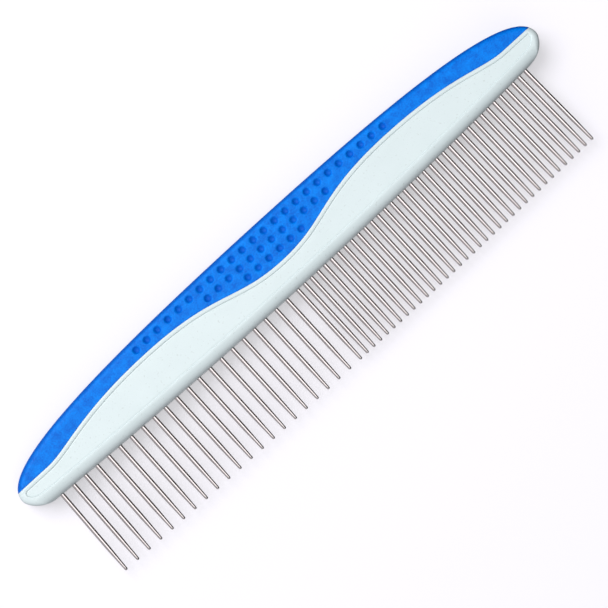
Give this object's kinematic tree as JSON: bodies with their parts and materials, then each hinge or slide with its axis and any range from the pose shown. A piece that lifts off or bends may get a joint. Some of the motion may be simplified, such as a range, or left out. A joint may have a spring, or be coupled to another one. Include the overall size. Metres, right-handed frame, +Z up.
{
  "type": "grooming comb",
  "caption": "Straight pet grooming comb: steel pins, coarse at one end and fine at the other, in a long white handle with a soft blue grip over its spine.",
  "frame": {"origin": "middle of the overall box in X and Y, on the flat back that the comb lies on (Z = 0)", "axes": "+X along the comb from the coarse pins to the fine pins, +Y from the pin tips to the spine, +Z up, out of the front face"},
  "size_m": [0.189, 0.0465, 0.01],
  "materials": {
    "hard_plastic": "satin",
    "soft_grip": "matte",
    "steel": "polished"
  },
  "bodies": {
    "root": {"white_handle": "hard_plastic", "blue_grip": "soft_grip", "coarse_tooth_01": "steel", "coarse_tooth_02": "steel", "coarse_tooth_03": "steel", "coarse_tooth_04": "steel", "coarse_tooth_05": "steel", "coarse_tooth_06": "steel", "coarse_tooth_07": "steel", "coarse_tooth_08": "steel", "coarse_tooth_09": "steel", "coarse_tooth_10": "steel", "coarse_tooth_11": "steel", "coarse_tooth_12": "steel", "coarse_tooth_13": "steel", "coarse_tooth_14": "steel", "coarse_tooth_15": "steel", "coarse_tooth_16": "steel", "coarse_tooth_17": "steel", "coarse_tooth_18": "steel", "coarse_tooth_19": "steel", "coarse_tooth_20": "steel", "coarse_tooth_21": "steel", "fine_tooth_01": "steel", "fine_tooth_02": "steel", "fine_tooth_03": "steel", "fine_tooth_04": "steel", "fine_tooth_05": "steel", "fine_tooth_06": "steel", "fine_tooth_07": "steel", "fine_tooth_08": "steel", "fine_tooth_09": "steel", "fine_tooth_10": "steel", "fine_tooth_11": "steel", "fine_tooth_12": "steel", "fine_tooth_13": "steel", "fine_tooth_14": "steel", "fine_tooth_15": "steel", "fine_tooth_16": "steel", "fine_tooth_17": "steel", "fine_tooth_18": "steel", "fine_tooth_19": "steel", "fine_tooth_20": "steel", "fine_tooth_21": "steel", "fine_tooth_22": "steel", "fine_tooth_23": "steel", "fine_tooth_24": "steel", "fine_tooth_25": "steel", "fine_tooth_26": "steel", "fine_tooth_27": "steel", "fine_tooth_28": "steel", "fine_tooth_29": "steel", "fine_tooth_30": "steel", "fine_tooth_31": "steel", "fine_tooth_32": "steel", "fine_tooth_33": "steel", "fine_tooth_34": "steel", "fine_tooth_35": "steel", "fine_tooth_36": "steel"}
  },
  "joints": []
}
